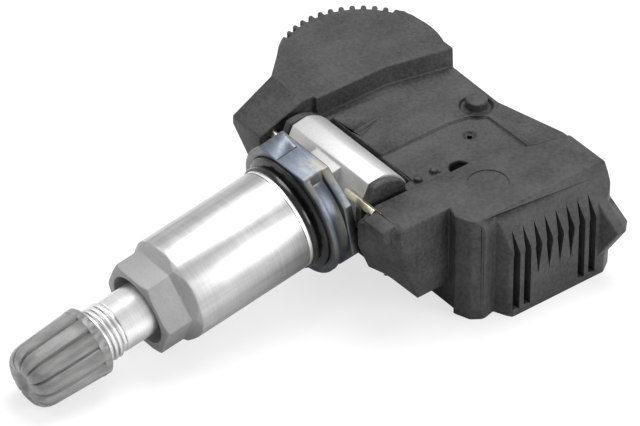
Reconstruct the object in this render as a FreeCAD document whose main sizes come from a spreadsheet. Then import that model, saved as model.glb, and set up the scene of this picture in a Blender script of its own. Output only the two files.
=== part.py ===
"""Clamp-in tyre pressure sensor: a moulded housing with a swivelling metal valve.

X runs along the housing, from the battery lobe (-X) to the vent end (+X).
The valve points to -Y and droops. Z is up, with Z = 0 on the underside of the housing.
X = Y = 0 is the middle of the valve's foot, the half-round bar that swivels in the cradle.
"""
import FreeCAD, Part
import math
import os
import Sketcher

os.makedirs("parts", exist_ok=True)
doc = FreeCAD.newDocument("TyrePressureSensor")
sheet = doc.addObject("Spreadsheet::Sheet", "Sizes")

# Driving dimensions, in millimetres and degrees
DIMENSIONS = {
    # swivel foot and droop of the valve
    "droop": 10.1,
    "foot_height": 13.35,
    "foot_radius": 5.5,
    "foot_length": 16.7,
    "foot_top_flat": 5.2,
    "foot_front_flat": 3.45,
    "foot_flat_angle": 35.0,
    "foot_nose": 3.9,
    # valve stem, distances along its axis from the foot's middle
    "neck_radius": 3.2,
    "neck_width": 5.4,
    "flange_radius": 8.0,
    "flange_rear": 2.9,
    "collar_rear": 4.1,
    "shank_radius": 4.9,
    "shank_end": 27.0,
    "slim_radius": 3.8,
    "cap_thread_start": 38.8,
    "cap_thread_radius": 3.6,
    "stem_end": 50.6,
    "core_bore_radius": 2.65,
    "core_bore_depth": 7.4,
    "barrel_bore_radius": 1.95,
    "barrel_bore_depth": 17.0,
    "air_bore_radius": 1.2,
    # steel collar
    "collar_length": 4.3,
    "collar_rim_radius": 9.75,
    "collar_rim": 1.0,
    "collar_waist_radius": 8.7,
    "collar_band": 1.35,
    "collar_band_side": 9.1,
    "collar_band_top": 8.85,
    "collar_recess_radius": 8.5,
    "collar_recess_depth": 2.3,
    # rubber grommet and slip washer
    "grommet_lip": 1.0,
    "grommet_groove": 0.6,
    "grommet_front_radius": 7.8,
    "grommet_nose_radius": 5.6,
    "grommet_nose": 3.0,
    "washer_thickness": 0.5,
    # union nut
    "nut_rear": 10.4,
    "nut_radius": 7.45,
    "nut_front": 34.4,
    "nut_flats": 12.0,
    "nut_hex_length": 4.0,
    "nut_bore_radius": 5.1,
    "nut_thread_length": 8.0,
    "nut_thread_start": 17.0,
    "nut_chamfer": 0.5,
    # dust cap
    "cap_crown": 2.2,
    "cap_length": 10.7,
    "cap_floor": 1.2,
    "cap_mouth_radius": 4.85,
    "cap_end_radius": 4.35,
    "cap_round": 1.2,
    "cap_dimple_radius": 1.3,
    "cap_dimple_depth": 0.5,
    "cap_bore_radius": 3.95,
    "cap_mouth_band": 1.2,
    "cap_flutes": 12,
    "cap_flute_width": 0.9,
    "cap_flute_depth": 0.4,
    "seal_thickness": 0.7,
    # valve core
    "core_head_radius": 2.55,
    "core_head": 3.2,
    "core_head_gap": 1.4,
    "core_barrel_radius": 1.6,
    "core_barrel": 9.0,
    "pin_radius": 0.45,
    "pin_head_radius": 0.8,
    "pin_travel": 1.2,
    "cup_length": 1.2,
    "cup_radius": 1.5,
    "spring_wire": 0.15,
    "spring_turns": 6,
    # housing
    "body_height": 16.6,
    "lobe_height": 19.4,
    "lobe_radius": 11.75,
    "lobe_x": -14.0,
    "lobe_y": 15.0,
    "plate_edge": -10.0,
    "plate_back": 26.0,
    "plate_back_left": -18.9,
    "plate_back_right": -7.8,
    "body_right": 24.6,
    "body_back": 28.5,
    "body_front": 5.4,
    "waist_x": 2.7,
    "waist_back": 25.8,
    "ear_gap": 10.7,
    "ear_front": 5.2,
    "ear_left": 17.0,
    "ear_right": 17.5,
    "ear_set_back": 2.0,
    "ear_bottom": 3.75,
    "recess_left": 6.5,
    "ear_chamfer": 1.5,
    "ear_slope_end": 2.2,
    "ear_taper_top": 15.2,
    "cradle_front": 0.3,
    "cradle_boss_radius": 5.3,
    "cradle_boss_front": 3.8,
    "cradle_boss_half": 9.7,
    "notch_back": 3.9,
    "notch_floor": 12.3,
    "corner_radius": 1.1,
    # top: the platform at full height, the field beside it and the pocket in the field
    "field_drop": 0.35,
    "pocket_drop": 0.8,
    "platform_x": 11.0,
    "platform_turn": 18.6,
    "platform_back_x": 14.9,
    "pocket_left": 2.0,
    "pocket_back": 22.6,
    # bulge at the back corner
    "bulge_low": 2.8,
    "bulge_middle": 8.4,
    "bulge_high": 13.0,
    "bulge_x": 26.7,
    "bulge_y": 29.4,
    "bulge_flat": 1.6,
    "vent_slope": 1.9,
    "vent_slope_height": 4.6,
    "vent_lip": 1.4,
    "vent_first": 11.2,
    "vent_pitch": 1.88,
    "vent_width": 1.15,
    "vent_depth": 1.3,
    "vent_bottom": 1.15,
    "vent_short_bottom": 5.4,
    "vent_kink": 10.0,
    "vent_top": 13.8,
    "wall": 1.5,
    "rim_notches": 12,
    "rim_notch_width": 0.75,
    "rim_notch_depth": 0.7,
    "rim_notch_height": 2.2,
    "rim_notch_start": 122.0,
    "rim_notch_span": 86.0,
    "port_x": 10.3,
    "port_y": 12.7,
    "port_radius": 1.5,
    "button_x": 0.9,
    "button_y": 23.1,
    "button_radius": 1.55,
    "button_height": 0.5,
    # spring clips
    "clip_thickness": 0.7,
    "clip_width": 1.0,
    "clip_height": 0.8,
    "clip_reach": 5.5,
    "clip_half": 14.6,
    "clip_leg": 6.0,
    # inside
    "lid_thickness": 1.5,
    "lid_ledge": 0.7,
    "bay_left": -23.0,
    "bay_right": 20.4,
    "bay_front": 9.2,
    "bay_back": 24.2,
    "head_room": 0.5,
    "board_thickness": 1.0,
    "board_ledge": 0.8,
    "post_side": 2.4,
    "cell_radius": 10.0,
    "cell_height": 5.0,
    "tab_thickness": 0.2,
    "tab_width": 5.0,
    "chip_size": 5.0,
    "chip_height": 2.2,
    "seal_wall": 0.8,
    "filter_thickness": 0.3,
    "coil_length": 8.0,
    "coil_width": 2.6,
    "coil_flange": 0.6,
    "crystal_length": 3.2,
    "crystal_width": 2.5,
    "crystal_height": 0.9,
    "capacitor_length": 3.2,
    "capacitor_width": 1.6,
    "capacitor_height": 1.6,
    "loop_wire": 0.8,
    "loop_length": 16.0,
    "loop_height": 3.4,
    "coil_gap": 0.3,
    "coil_y": 12.5,
    "crystal_x": 2.0,
    "crystal_y": 17.0,
    "capacitor_x": 8.0,
    "capacitor_y": 17.5,
    # clearances
    "foot_gap": 0.06,
    "end_gap": 0.15,
    "running_gap": 0.05,
    "seat_gap": 0.02,
    "clip_gap": 0.15,
    "lid_gap": 0.05,
}

for row, (alias, value) in enumerate(DIMENSIONS.items(), start=1):
    sheet.set(f"A{row}", alias)
    sheet.set(f"B{row}", str(value))
    sheet.setAlias(f"B{row}", alias)
doc.recompute()


class Size:
    """A number together with the sheet formula that gives it."""

    def __init__(self, value, formula):
        self.value = value
        self.formula = formula

    @staticmethod
    def of(other):
        return other if isinstance(other, Size) else Size(float(other), repr(float(other)))

    def __add__(self, other):
        other = Size.of(other)
        return Size(self.value + other.value, f"({self.formula} + {other.formula})")

    def __sub__(self, other):
        other = Size.of(other)
        return Size(self.value - other.value, f"({self.formula} - {other.formula})")

    def __mul__(self, other):
        other = Size.of(other)
        return Size(self.value * other.value, f"({self.formula} * {other.formula})")

    def __truediv__(self, other):
        other = Size.of(other)
        return Size(self.value / other.value, f"({self.formula} / {other.formula})")

    def __neg__(self):
        return Size(-self.value, f"(0 - {self.formula})")

    def __radd__(self, other):
        return Size.of(other) + self

    def __rsub__(self, other):
        return Size.of(other) - self

    def __rmul__(self, other):
        return Size.of(other) * self


class Sheet:
    """The sheet's cells, read by name as sizes."""

    def __getattr__(self, alias):
        return Size(float(sheet.get(alias)), f"Sizes.{alias}")


size = Sheet()
ZERO = Size.of(0)
VALVE_TURN = 90 + size.droop.value
VALVE = FreeCAD.Placement(FreeCAD.Vector(0, 0, size.foot_height.value),
                          FreeCAD.Rotation(FreeCAD.Vector(1, 0, 0), VALVE_TURN))
WORLD = FreeCAD.Placement()
RUNS_PER_TURN = 12


def bind(item, **sizes):
    """Bind properties of a document object to sheet formulas."""
    for name, value in sizes.items():
        item.setExpression(name, Size.of(value).formula)


def put(item, x=ZERO, y=ZERO, z=ZERO, turn=None):
    """Place an object at three sizes, turned by a fixed rotation."""
    if turn is not None:
        item.Placement = FreeCAD.Placement(FreeCAD.Vector(), FreeCAD.Rotation(*turn))
    for axis, value in zip("xyz", (x, y, z)):
        item.setExpression(f"Placement.Base.{axis}", Size.of(value).formula)
    return item


def cylinder(name, radius, height, x=ZERO, y=ZERO, z=ZERO, turn=None):
    item = doc.addObject("Part::Cylinder", name)
    bind(item, Radius=radius, Height=height)
    return put(item, x, y, z, turn)


def cone(name, first, second, height, x=ZERO, y=ZERO, z=ZERO, turn=None):
    item = doc.addObject("Part::Cone", name)
    bind(item, Radius1=first, Radius2=second, Height=height)
    return put(item, x, y, z, turn)


def box(name, x, y, z):
    """A box given by its three spans, each a pair of sizes."""
    item = doc.addObject("Part::Box", name)
    spans = [(Size.of(low), Size.of(high)) for low, high in (x, y, z)]
    bind(item, Length=spans[0][1] - spans[0][0], Width=spans[1][1] - spans[1][0],
         Height=spans[2][1] - spans[2][0])
    return put(item, *(low for low, high in spans))


def join(name, items):
    item = doc.addObject("Part::MultiFuse", name)
    item.Shapes = items
    return item


def cut(name, base, tools):
    item = doc.addObject("Part::Cut", name)
    item.Base = base
    item.Tool = tools[0] if len(tools) == 1 else join(name + "Tools", tools)
    return item


def finish(item, label, place=WORLD):
    """Name a finished sub-part and set it in its place."""
    item.Label = label
    item.Placement = place
    return item


def new_body(name):
    return doc.addObject("PartDesign::Body", name)


def origin_plane(body, role):
    return next(item for item in body.Origin.OriginFeatures if item.Role == role)


def sketch_on(body, name, role):
    """A sketch on one of the body's own origin planes."""
    sketch = body.newObject("Sketcher::SketchObject", name)
    sketch.AttachmentSupport = [(origin_plane(body, role), "")]
    sketch.MapMode = "FlatFace"
    return sketch


def hold(sketch, index, end, direction, value):
    """Hold one end of a line at a distance from the sketch's origin."""
    value = Size.of(value)
    if value.value == 0:
        axis = -2 if direction == "DistanceX" else -1
        sketch.addConstraint(Sketcher.Constraint("PointOnObject", index, end, axis))
        return
    number = sketch.addConstraint(Sketcher.Constraint(direction, index, end, value.value))
    sketch.setExpression(f"Constraints[{number}]", value.formula)


def outline(sketch, corners):
    """A closed outline of straight lines, each corner held by two sizes."""
    first = sketch.GeometryCount
    count = len(corners)
    points = [FreeCAD.Vector(Size.of(a).value, Size.of(b).value, 0) for a, b in corners]
    for index, start in enumerate(points):
        sketch.addGeometry(Part.LineSegment(start, points[(index + 1) % count]))
    for index in range(count):
        follower = first + (index + 1) % count
        sketch.addConstraint(Sketcher.Constraint("Coincident", first + index, 2, follower, 1))
    for index, (a, b) in enumerate(corners):
        hold(sketch, first + index, 1, "DistanceX", a)
        hold(sketch, first + index, 1, "DistanceY", b)


def circle_on(sketch, x, y, radius):
    index = sketch.addGeometry(Part.Circle(FreeCAD.Vector(Size.of(x).value, Size.of(y).value, 0),
                                           FreeCAD.Vector(0, 0, 1), Size.of(radius).value))
    hold(sketch, index, 3, "DistanceX", x)
    hold(sketch, index, 3, "DistanceY", y)
    number = sketch.addConstraint(Sketcher.Constraint("Radius", index, Size.of(radius).value))
    sketch.setExpression(f"Constraints[{number}]", Size.of(radius).formula)


def pad(body, name, sketch, length, offset=ZERO):
    """Pad a sketch upwards from a height given by its attachment offset."""
    sketch.setExpression("AttachmentOffset.Base.z", Size.of(offset).formula)
    item = body.newObject("PartDesign::Pad", name)
    item.Profile = sketch
    bind(item, Length=length)
    sketch.Visibility = False
    return item


def pocket(body, name, sketch, length, offset=ZERO, upwards=True):
    """Cut a sketch out of the body, from its offset plane along the plane's normal."""
    sketch.setExpression("AttachmentOffset.Base.z", Size.of(offset).formula)
    item = body.newObject("PartDesign::Pocket", name)
    item.Profile = sketch
    item.Reversed = upwards
    bind(item, Length=length)
    return item


def revolved(name, label, corners, place=VALVE):
    """A turned piece from corners of (distance along the axis, radius)."""
    body = new_body(name)
    sketch = sketch_on(body, name + "Profile", "XZ_Plane")
    outline(sketch, [(radius, along) for along, radius in corners])
    turning = body.newObject("PartDesign::Revolution", name + "Turning")
    turning.Profile = sketch
    turning.ReferenceAxis = (sketch, ["V_Axis"])
    turning.Angle = 360
    return finish(body, label, place)


def vertical_edges(shape, chosen):
    """Names of the vertical edges whose plan position passes the test."""
    names = []
    for number, edge in enumerate(shape.Edges, start=1):
        start, end = edge.Vertexes[0].Point, edge.Vertexes[-1].Point
        upright = abs(start.x - end.x) < 1e-6 and abs(start.y - end.y) < 1e-6
        if upright and abs(start.z - end.z) > 1 and chosen(start):
            names.append(f"Edge{number}")
    return names


# Swivel foot and stem

def make_valve_stem():
    """The T-shaped aluminium stem: a flatted half-round foot, a flared neck and a stepped shank."""
    along_x = (FreeCAD.Vector(0, 1, 0), 90)
    bar = cylinder("FootBar", size.foot_radius, size.foot_length, x=-size.foot_length / 2, turn=along_x)
    reach = 2 * size.foot_radius
    half = size.foot_length
    trims = [box("FootTopTrim", (-half, half), (size.foot_top_flat, reach), (-reach, reach)),
             box("FootLowTrim", (-half, half), (-reach, -size.foot_top_flat), (-reach, reach)),
             box("FootNoseTrim", (-half, half), (-reach, reach), (size.foot_nose, reach))]
    for side, name in ((1, "FootUpperFlat"), (-1, "FootLowerFlat")):
        trim = doc.addObject("Part::Box", name)
        bind(trim, Length=2 * half, Width=2 * reach, Height=reach)
        angle = math.radians(size.foot_flat_angle.value) * side
        normal = FreeCAD.Vector(0, math.sin(angle), math.cos(angle))
        turn = FreeCAD.Rotation(FreeCAD.Vector(0, 0, 1), normal)
        corner = FreeCAD.Vector(-half.value, -reach.value, size.foot_front_flat.value)
        trim.Placement = FreeCAD.Placement(turn.multVec(corner), turn)
        trims.append(trim)
    foot = cut("Foot", bar, trims)

    neck = new_body("Neck")
    sketch = sketch_on(neck, "NeckProfile", "XZ_Plane")
    stations = [(ZERO, ZERO), (ZERO, size.neck_radius), (size.flange_rear, size.neck_radius),
                (size.collar_rear, size.flange_radius),
                (size.collar_rear, size.shank_radius), (size.shank_end, size.shank_radius),
                (size.shank_end + 1, size.slim_radius), (size.cap_thread_start, size.slim_radius),
                (size.cap_thread_start, size.cap_thread_radius),
                (size.stem_end, size.cap_thread_radius),
                (size.stem_end, ZERO)]
    outline(sketch, [(radius, along) for along, radius in stations])
    turning = neck.newObject("PartDesign::Revolution", "NeckTurning")
    turning.Profile = sketch
    turning.ReferenceAxis = (sketch, ["V_Axis"])
    turning.Angle = 360

    bores = [cylinder("CoreBore", size.core_bore_radius, size.core_bore_depth + 1,
                      z=size.stem_end - size.core_bore_depth),
             cylinder("BarrelBore", size.barrel_bore_radius, size.barrel_bore_depth,
                      z=size.stem_end - size.barrel_bore_depth),
             cylinder("AirBore", size.air_bore_radius, size.stem_end + 2 * size.foot_radius,
                      z=-2 * size.foot_radius)]
    web_half = size.neck_width / 2
    web_rise = size.foot_top_flat - 0.4
    web = box("NeckWeb", (-web_half, web_half), (-web_rise, web_rise), (ZERO, size.collar_rear * 0.8))
    stem = cut("ValveStem", join("StemSolid", [foot, neck, web]), bores)
    return finish(stem, "valve_stem", VALVE)


def make_collar():
    """The plated steel collar: an eight-sided band behind, a round rim in front and a waist between."""
    front = size.collar_rear + size.collar_length
    body = new_body("Collar")
    band = sketch_on(body, "CollarBand", "XY_Plane")
    top, side = size.collar_band_top, size.collar_band_side
    top_half, side_half = size.collar_band_top * 0.565, size.collar_band_side * 0.48
    corners = [(top_half, top), (side, side_half), (side, -side_half), (top_half, -top),
               (-top_half, -top), (-side, -side_half), (-side, side_half), (-top_half, top)]
    outline(band, corners)
    pad(body, "CollarBandPad", band, size.collar_band, size.collar_rear)
    waist = sketch_on(body, "CollarWaist", "XY_Plane")
    circle_on(waist, ZERO, ZERO, size.collar_waist_radius)
    pad(body, "CollarWaistPad", waist, size.collar_length, size.collar_rear)
    rim = sketch_on(body, "CollarRim", "XY_Plane")
    circle_on(rim, ZERO, ZERO, size.collar_rim_radius)
    pad(body, "CollarRimPad", rim, size.collar_rim, front - size.collar_rim)
    lug = sketch_on(body, "CollarLug", "XY_Plane")
    outline(lug, [(-top_half, ZERO - top / 2), (top_half, ZERO - top / 2), (top_half, top), (-top_half, top)])
    pad(body, "CollarLugPad", lug, size.collar_length, size.collar_rear)
    trim = sketch_on(body, "CollarTopTrim", "XY_Plane")
    reach = 2 * size.collar_rim_radius
    outline(trim, [(-reach, top), (reach, top), (reach, reach), (-reach, reach)])
    pocket(body, "CollarTopCut", trim, size.collar_length, size.collar_rear)
    recess = sketch_on(body, "CollarRecess", "XY_Plane")
    circle_on(recess, ZERO, ZERO, size.collar_recess_radius)
    pocket(body, "CollarRecessCut", recess, size.collar_recess_depth, front - size.collar_recess_depth)
    bore = sketch_on(body, "CollarBore", "XY_Plane")
    circle_on(bore, ZERO, ZERO, size.shank_radius + size.seat_gap)
    pocket(body, "CollarBoreCut", bore, size.collar_length, size.collar_rear)
    return finish(body, "collar", VALVE)


def make_grommet():
    """The rubber seal: it sits in the collar's recess, shows two lips and has a nose inside the nut."""
    rear = size.collar_rear + size.collar_length - size.collar_recess_depth
    bore = size.shank_radius + size.seat_gap
    outer = size.collar_recess_radius - size.seat_gap
    front = size.nut_rear
    nose = front + size.grommet_nose
    groove = size.grommet_front_radius - size.grommet_groove
    corners = [(rear, bore), (rear, outer), (front - 1.6 * size.grommet_lip, outer),
               (front - 1.2 * size.grommet_lip, groove),
               (front - 0.9 * size.grommet_lip, size.grommet_front_radius),
               (front, size.grommet_front_radius), (front, size.grommet_nose_radius),
               (nose, size.grommet_nose_radius), (nose, bore)]
    return revolved("Grommet", "grommet", corners)


def make_slip_washer():
    """The washer between the nut's sleeve and the rubber."""
    inner = size.grommet_nose_radius + size.running_gap
    front = size.nut_rear + size.washer_thickness
    corners = [(size.nut_rear, inner), (size.nut_rear, size.nut_radius), (front, size.nut_radius), (front, inner)]
    return revolved("SlipWasher", "slip_washer", corners)


def make_union_nut():
    """The long aluminium nut: a turned sleeve with six milled flats that run out in sloping shoulders."""
    rear = size.nut_rear + size.washer_thickness + size.seat_gap
    nose_bore = size.grommet_nose_radius + 2 * size.running_gap
    thread_bore = size.shank_radius + size.running_gap
    thread_end = size.nut_thread_start + size.nut_thread_length
    shoulder = size.nut_radius - size.nut_flats / 2
    hex_rear = size.nut_front - size.nut_hex_length
    body = new_body("UnionNut")
    sketch = sketch_on(body, "NutProfile", "XZ_Plane")
    corners = [(rear, nose_bore), (rear, size.nut_radius), (size.nut_front - size.nut_chamfer, size.nut_radius),
               (size.nut_front, size.nut_flats / 2 + 0.2), (size.nut_front, size.nut_bore_radius),
               (thread_end, size.nut_bore_radius), (thread_end, thread_bore),
               (size.nut_thread_start, thread_bore), (size.nut_thread_start, nose_bore)]
    outline(sketch, [(radius, along) for along, radius in corners])
    turning = body.newObject("PartDesign::Revolution", "NutTurning")
    turning.Profile = sketch
    turning.ReferenceAxis = (sketch, ["V_Axis"])
    turning.Angle = 360
    flat = sketch_on(body, "NutFlat", "YZ_Plane")
    outer = size.nut_radius + 1
    outline(flat, [(size.nut_flats / 2, hex_rear), (size.nut_flats / 2, size.nut_front + 1),
                   (outer, size.nut_front + 1), (outer, hex_rear - shoulder - 1),
                   (size.nut_radius, hex_rear - shoulder)])
    milled = body.newObject("PartDesign::Pocket", "NutFlatCut")
    milled.Profile = flat
    milled.Midplane = True
    bind(milled, Length=3 * size.nut_radius)
    six = body.newObject("PartDesign::PolarPattern", "NutFlats")
    six.Originals = [milled]
    six.Axis = (flat, ["V_Axis"])
    six.Angle = 360
    six.Occurrences = 6
    body.Tip = six
    return finish(body, "union_nut", VALVE)


def make_dust_cap():
    """The fluted plastic dust cap."""
    end = size.stem_end + size.cap_crown
    mouth = end - size.cap_length
    floor = end - size.cap_floor
    corners = [(mouth, size.cap_bore_radius), (mouth, size.cap_mouth_radius),
               (end - size.cap_round, size.cap_end_radius), (end, size.cap_end_radius - size.cap_round),
               (end, size.cap_dimple_radius), (end - size.cap_dimple_depth, size.cap_dimple_radius),
               (end - size.cap_dimple_depth, ZERO), (floor, ZERO), (floor, size.cap_bore_radius)]
    body = new_body("DustCap")
    sketch = sketch_on(body, "CapProfile", "XZ_Plane")
    outline(sketch, [(radius, along) for along, radius in corners])
    turning = body.newObject("PartDesign::Revolution", "CapTurning")
    turning.Profile = sketch
    turning.ReferenceAxis = (sketch, ["V_Axis"])
    turning.Angle = 360
    flute = sketch_on(body, "CapFlute", "XY_Plane")
    half, outer = size.cap_flute_width / 2, size.cap_mouth_radius + size.cap_flute_depth
    outline(flute, [(-half, outer), (ZERO, size.cap_mouth_radius - size.cap_flute_depth), (half, outer)])
    fluting = pocket(body, "CapFluteCut", flute, size.cap_length, mouth + size.cap_mouth_band)
    ring = body.newObject("PartDesign::PolarPattern", "CapFlutes")
    ring.Originals = [fluting]
    ring.Axis = (flute, ["N_Axis"])
    ring.Angle = 360
    ring.setExpression("Occurrences", size.cap_flutes.formula)
    body.Tip = ring
    return finish(body, "dust_cap", VALVE)


def make_cap_seal():
    """The rubber disc inside the cap, on the stem's end."""
    corners = [(size.stem_end, ZERO), (size.stem_end, size.cap_bore_radius - size.seat_gap),
               (size.stem_end + size.seal_thickness, size.cap_bore_radius - size.seat_gap),
               (size.stem_end + size.seal_thickness, ZERO)]
    return revolved("CapSeal", "cap_seal", corners)


def core_stations():
    """Ends of the valve core's head and barrel along the valve's axis."""
    head_front = size.stem_end - size.core_head_gap
    head_rear = head_front - size.core_head
    return head_front, head_rear, head_rear - size.core_barrel


def make_valve_core():
    """The brass valve core with its rubber seals, pin and spring."""
    head_front, head_rear, barrel_rear = core_stations()
    hole = size.pin_radius + size.running_gap
    spring_room = size.pin_head_radius + 0.4
    spring_front = head_rear - 0.5
    spring_rear = barrel_rear + 1
    body = [(barrel_rear, hole), (barrel_rear, size.core_barrel_radius), (head_rear, size.core_barrel_radius),
            (head_rear, size.core_head_radius), (head_front, size.core_head_radius), (head_front, hole),
            (spring_front, hole),
            (spring_front, spring_room), (spring_rear, spring_room), (spring_rear, hole)]
    made = [revolved("CoreBody", "core_body", body)]
    washer = [(head_rear - 1, size.core_barrel_radius + size.seat_gap),
              (head_rear - 1, size.barrel_bore_radius - size.seat_gap),
              (head_rear - 0.2, size.barrel_bore_radius - size.seat_gap),
              (head_rear - 0.2, size.core_barrel_radius + size.seat_gap)]
    made.append(revolved("CoreSeal", "core_seal", washer))
    tip = head_front + 0.9
    bead = spring_front - size.spring_wire
    pin = [(barrel_rear - size.cup_length, ZERO), (barrel_rear - size.cup_length, size.pin_radius),
           (bead - 1, size.pin_radius), (bead - 1, size.pin_head_radius), (bead - 0.5, size.pin_head_radius),
           (bead - 0.5, size.pin_radius), (tip, size.pin_radius), (tip, ZERO)]
    made.append(revolved("CorePin", "core_pin", pin))
    cup = [(barrel_rear - size.cup_length, size.pin_radius), (barrel_rear - size.cup_length, size.cup_radius),
           (barrel_rear, size.cup_radius), (barrel_rear, size.pin_radius)]
    made.append(revolved("CoreCup", "core_cup", cup))
    made.append(make_core_spring(spring_rear, bead - 1))
    return made


def make_core_spring(rear, front):
    """The spring that lifts the pin: square wire wound in short straight runs."""
    wire = size.spring_wire.value
    length = front.value - rear.value - 2 * wire
    turn_radius = size.pin_radius.value + size.running_gap.value + 2 * wire
    runs = round(size.spring_turns.value * RUNS_PER_TURN)

    def station(step):
        angle = 2 * math.pi * step / RUNS_PER_TURN
        return FreeCAD.Vector(turn_radius * math.cos(angle), turn_radius * math.sin(angle),
                              rear.value + wire + length * step / runs)

    spine = Part.makePolygon([station(step) for step in range(runs + 1)])
    section = Part.makePolygon([station(0) + FreeCAD.Vector(x * wire, 0, z * wire)
                                for x, z in ((-1, -1), (1, -1), (1, 1), (-1, 1), (-1, -1))])
    item = doc.addObject("Part::Feature", "CoreSpring")
    item.Shape = spine.makePipeShell([section], True, False, 1)
    return finish(item, "core_spring", VALVE)


# Housing

def board_top():
    """The board's upper side, low enough for the cell and its strips under the ceiling."""
    cell = size.cell_height + 2 * size.tab_thickness + size.head_room
    return size.body_height - size.wall - cell


def board_bottom():
    return board_top() - size.board_thickness


def bay_outline(sketch, margin):
    """The inner bay's rectangle, widened all round by a margin."""
    left, right = size.bay_left - margin, size.bay_right + margin
    front, back = size.bay_front - margin, size.bay_back + margin
    outline(sketch, [(left + size.cell_radius / 2, front), (right, front), (right, back),
                     (left + size.cell_radius / 2, back)])


def pad_midplane(kind, body, name, sketch, length):
    """Pad or pocket a sketch equally to both sides of its plane."""
    item = body.newObject(f"PartDesign::{kind}", name)
    item.Profile = sketch
    item.Midplane = True
    bind(item, Length=length)
    return item


def make_housing():
    """The moulded housing: body, battery lobe, two ears, cradle, vents and the bay inside."""
    body = new_body("Housing")
    plan = sketch_on(body, "BodyPlan", "XY_Plane")
    front, right, back = size.body_front, size.body_right, size.body_back
    outline(plan, [
        (size.ear_gap, -size.ear_front), (size.ear_right, -size.ear_front + size.ear_set_back),
        (size.ear_right - 0.3, front), (right - 5.4, front - 0.7), (right - 3, front + 0.2),
        (right - 1.9, front + 1.8), (right - 2.4, front + 3.8), (right, front + 4.9), (right, back - 2),
        (right - 1.4, back), (size.waist_x + size.ear_gap, back), (size.waist_x, size.waist_back),
        (size.plate_back_right, size.plate_back), (size.plate_back_left, size.plate_back),
        (size.lobe_x - size.lobe_radius * 0.8, size.lobe_y - size.lobe_radius * 0.6),
        (-size.ear_left - 1, size.ear_slope_end), (-size.ear_left, -size.ear_front),
        (-size.ear_gap, -size.ear_front), (-size.ear_gap, -size.cradle_front), (size.ear_gap, -size.cradle_front)])
    block = pad(body, "BodyBlock", plan, size.body_height)
    doc.recompute()

    def rounded(point):
        return (right - 6).value < point.x and point.y < (back - 3).value and abs(point.x - (right - 2.4).value) > 0.1

    rounding = body.newObject("PartDesign::Fillet", "CornerRounding")
    rounding.Base = (block, vertical_edges(block.Shape, rounded))
    bind(rounding, Radius=size.corner_radius)
    add_lobe(body)
    add_cradle(body)
    add_ear_shapes(body)
    add_vents(body)
    add_bulge(body)
    add_bay(body)
    add_top_details(body)
    add_clip_slots(body)
    return finish(body, "housing")


def add_bulge(body):
    """The bulge at the back corner swells to its middle height and fades out below and above."""
    right, back = size.body_right - 0.2, size.body_back - 0.2
    flat, slant = size.bulge_flat, 0.4
    out_x, out_y = size.bulge_x, size.bulge_y

    def corners(x, y, start, end):
        """Five corners whose sides stay parallel from one height to the next."""
        rise = (x - start) * slant
        return [(start, back - 4), (x, back - 4 + rise), (x, y - flat), (x - flat, y),
                (end, y - (x - flat - end) / 4)]

    low = corners(right, back, right - 2.5, right - 5.6)
    middle = corners(out_x, out_y, right - 2.5, right - 5.6)
    high = corners(right - 1.2, back, right - 3.7, right - 6.8)
    sections = []
    for name, plan, height in (("Low", low, size.bulge_low), ("Middle", middle, size.bulge_middle),
                               ("High", high, size.bulge_high)):
        section = sketch_on(body, f"Bulge{name}", "XY_Plane")
        outline(section, plan)
        section.setExpression("AttachmentOffset.Base.z", height.formula)
        sections.append(section)
    loft = body.newObject("PartDesign::AdditiveLoft", "Bulge")
    loft.Profile = sections[0]
    loft.Sections = sections[1:]
    loft.Ruled = True


def add_lobe(body):
    """The battery lobe, its raised plate with the notched rim, and the slope down to the left ear."""
    lobe = sketch_on(body, "LobePlan", "XY_Plane")
    circle_on(lobe, size.lobe_x, size.lobe_y, size.lobe_radius)
    pad(body, "LobeDisc", lobe, size.lobe_height)
    plate = sketch_on(body, "PlatePlan", "XY_Plane")
    edge = size.plate_edge
    outline(plate, [(edge, -size.ear_front), (edge, size.lobe_y + 1), (size.plate_back_right, size.plate_back),
                    (size.plate_back_left, size.plate_back),
                    (size.lobe_x - size.lobe_radius * 0.8, size.lobe_y - size.lobe_radius * 0.6),
                    (-size.ear_left - 1, size.ear_slope_end), (-size.ear_left, -size.ear_front)])
    pad(body, "Plate", plate, size.lobe_height - size.body_height, size.body_height)
    step = sketch_on(body, "StepPlan", "XY_Plane")
    reach = size.lobe_radius * 2
    outline(step, [(edge, size.lobe_y - reach), (edge, size.lobe_y + 1), (size.plate_back_right, size.plate_back),
                   (size.plate_back_right, size.plate_back + size.corner_radius),
                   (edge + reach, size.plate_back + size.corner_radius), (edge + reach, size.lobe_y - reach)])
    pocket(body, "StepCut", step, size.lobe_height, size.body_height)
    slope = sketch_on(body, "EarSlope", "YZ_Plane")
    outline(slope, [(-size.ear_front - 1, size.body_height - 0.4), (size.ear_slope_end, size.lobe_height),
                    (size.ear_slope_end, size.lobe_height + 1), (-size.ear_front - 1, size.lobe_height + 1)])
    pad_midplane("Pocket", body, "EarSlopeCut", slope, 4 * size.ear_left)
    notch = sketch_on(body, "RimNotch", "XY_Plane")
    half = size.rim_notch_width / 2
    inner, outer = size.lobe_radius - size.rim_notch_depth, size.lobe_radius + 1
    outline(notch, [(inner, -half), (outer, -half), (outer, half), (inner, half)])
    notch.AttachmentOffset = FreeCAD.Placement(
        FreeCAD.Vector(), FreeCAD.Rotation(FreeCAD.Vector(0, 0, 1), size.rim_notch_start.value))
    notch.setExpression("AttachmentOffset.Base.x", size.lobe_x.formula)
    notch.setExpression("AttachmentOffset.Base.y", size.lobe_y.formula)
    cutting = pocket(body, "RimNotchCut", notch, size.lobe_height, size.lobe_height - size.rim_notch_height)
    ring = body.newObject("PartDesign::PolarPattern", "RimNotches")
    ring.Originals = [cutting]
    ring.Axis = (notch, ["N_Axis"])
    ring.setExpression("Angle", size.rim_notch_span.formula)
    ring.setExpression("Occurrences", size.rim_notches.formula)
    body.Tip = ring


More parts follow.
